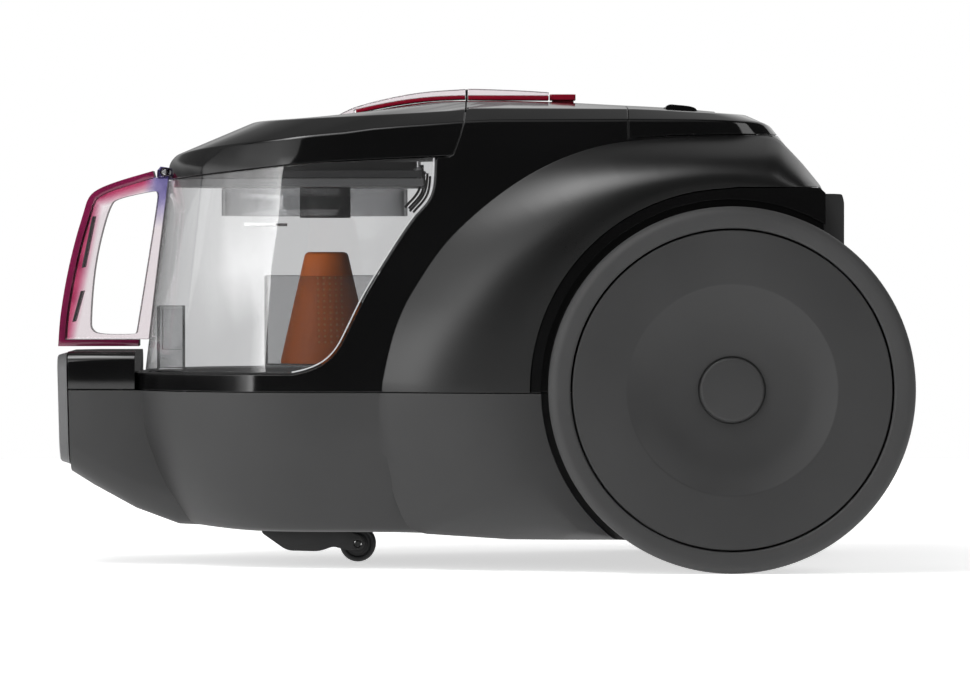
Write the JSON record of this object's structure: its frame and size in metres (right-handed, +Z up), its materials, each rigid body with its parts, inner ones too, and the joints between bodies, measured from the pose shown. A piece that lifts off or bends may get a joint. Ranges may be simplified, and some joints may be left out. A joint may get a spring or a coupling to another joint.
{
  "type": "canister vacuum cleaner",
  "caption": "Bagless canister vacuum cleaner with large rear wheels, a clear lift-out dust bin, a cone filter and a faceted gloss black body.",
  "frame": {"origin": "centre of the overall box on the floor", "axes": "+X towards the rear of the machine, +Z up, +Y towards its right side"},
  "size_m": [0.3982, 0.275, 0.2235],
  "materials": {
    "matte_grey": "fine matte",
    "gloss_black": "high gloss",
    "matte_black": "satin",
    "light_grey": "satin",
    "clear": "clear, polished",
    "clear_pink": "clear, tinted",
    "crimson": "gloss",
    "orange": "satin, perforated",
    "rubber": "matt rubber",
    "foam": "open foam",
    "steel": "bright",
    "white": "satin"
  },
  "bodies": {
    "chassis": {"base_shell": "matte_grey", "upper_housing": "gloss_black", "nose_cover": "gloss_black", "hose_inlet_bezel": "light_grey", "inlet_duct": "matte_black", "fender_left": "matte_black", "fender_right": "matte_black", "rear_top_cover": "gloss_black", "top_trim_red": "crimson", "top_trim_clear": "clear_pink", "exhaust_filter": "foam", "motor_can": "steel", "fan_housing": "light_grey", "motor_mount_front": "rubber", "motor_mount_rear": "rubber", "premotor_filter": "foam", "premotor_frame": "matte_black", "reel_axle": "steel", "reel_spring_case": "matte_black", "power_switch": "white", "axle_left": "steel", "axle_right": "steel", "bottom_skid": "matte_black", "cord_outlet_bush": "rubber", "release_spring": "steel", "power_spring": "steel", "rewind_spring": "steel", "brake_pivot_pin": "steel", "exhaust_hinge_pin": "steel"},
    "left_wheel": {"left_wheel_disc": "matte_grey", "left_tyre": "rubber", "left_hub_cap": "matte_grey"},
    "right_wheel": {"right_wheel_disc": "matte_grey", "right_tyre": "rubber", "right_hub_cap": "matte_grey"},
    "caster": {"caster_fork": "matte_grey", "caster_pivot_pin": "steel", "caster_axle": "steel"},
    "caster_wheel": {"caster_roller": "rubber"},
    "bin": {"dust_bin": "clear", "bin_handle": "clear_pink", "bin_handle_grip": "crimson", "cone_filter": "orange", "lid_hinge_pin": "steel"},
    "lid": {"bin_lid": "gloss_black", "lid_trim_red": "crimson", "lid_trim_clear": "clear_pink", "lid_plate": "light_grey", "lid_seal": "rubber", "vortex_tube": "matte_black", "cyclone_skirt": "clear"},
    "bin_release": {"release_button": "crimson"},
    "power_switch_pedal": {"power_pedal": "gloss_black"},
    "cord_rewind_pedal": {"rewind_pedal": "gloss_black"},
    "exhaust_door": {"exhaust_cover": "matte_black"},
    "fan": {"motor_shaft": "steel", "impeller": "white"},
    "cord_reel": {"cord_reel_drum": "light_grey"},
    "reel_brake": {"reel_brake_lever": "matte_black"}
  },
  "joints": [
    {"name": "left_wheel_spin", "type": "hinge", "parent": "chassis", "child": "left_wheel", "pos_m": [0.1164, -0.125, 0.0838], "axis": [0, 1, 0], "continuous": true},
    {"name": "right_wheel_spin", "type": "hinge", "parent": "chassis", "child": "right_wheel", "pos_m": [0.1164, 0.125, 0.0838], "axis": [0, 1, 0], "continuous": true},
    {"name": "caster_swivel", "type": "hinge", "parent": "chassis", "child": "caster", "pos_m": [-0.078, 0, 0.015], "axis": [0, 0, 1], "continuous": true},
    {"name": "caster_roll", "type": "hinge", "parent": "caster", "child": "caster_wheel", "pos_m": [-0.0565, 0, 0.0085], "axis": [0, 1, 0], "continuous": true},
    {"name": "bin_lift", "type": "slide", "parent": "chassis", "child": "bin", "axis": [0, 0, 1], "range_m": [0, 0.2]},
    {"name": "lid_open", "type": "hinge", "parent": "bin", "child": "lid", "pos_m": [-0.148, 0, 0.1843], "axis": [0, -1, 0], "range_deg": [0, 80]},
    {"name": "release_press", "type": "slide", "parent": "chassis", "child": "bin_release", "axis": [0, 0, -1], "range_m": [0, 0.003], "stiffness_N_per_m": 300, "springref_m": -0.004, "deforming": ["release_spring"]},
    {"name": "power_press", "type": "slide", "parent": "chassis", "child": "power_switch_pedal", "axis": [0, 0, -1], "range_m": [0, 0.003], "stiffness_N_per_m": 300, "springref_m": -0.004, "deforming": ["power_spring"]},
    {"name": "rewind_press", "type": "slide", "parent": "chassis", "child": "cord_rewind_pedal", "axis": [0, 0, -1], "range_m": [0, 0.003], "stiffness_N_per_m": 300, "springref_m": -0.004, "deforming": ["rewind_spring"]},
    {"name": "exhaust_open", "type": "hinge", "parent": "chassis", "child": "exhaust_door", "pos_m": [0.165, 0, 0.069], "axis": [0, 1, 0], "range_deg": [0, 100]},
    {"name": "fan_spin", "type": "hinge", "parent": "chassis", "child": "fan", "pos_m": [0.02, -0.042, 0.092], "axis": [1, 0, 0], "continuous": true},
    {"name": "reel_spin", "type": "hinge", "parent": "chassis", "child": "cord_reel", "pos_m": [0.08, 0.048, 0.096], "axis": [0, 1, 0], "continuous": true},
    {"name": "reel_brake_turn", "type": "hinge", "parent": "chassis", "child": "reel_brake", "pos_m": [0.081, 0.03, 0.1785], "axis": [0, 1, 0], "range_deg": [0, 12]}
  ],
  "couplings": [
    {"joint": "reel_brake_turn", "follows": "rewind_press", "rad_per_m": 69}
  ]
}
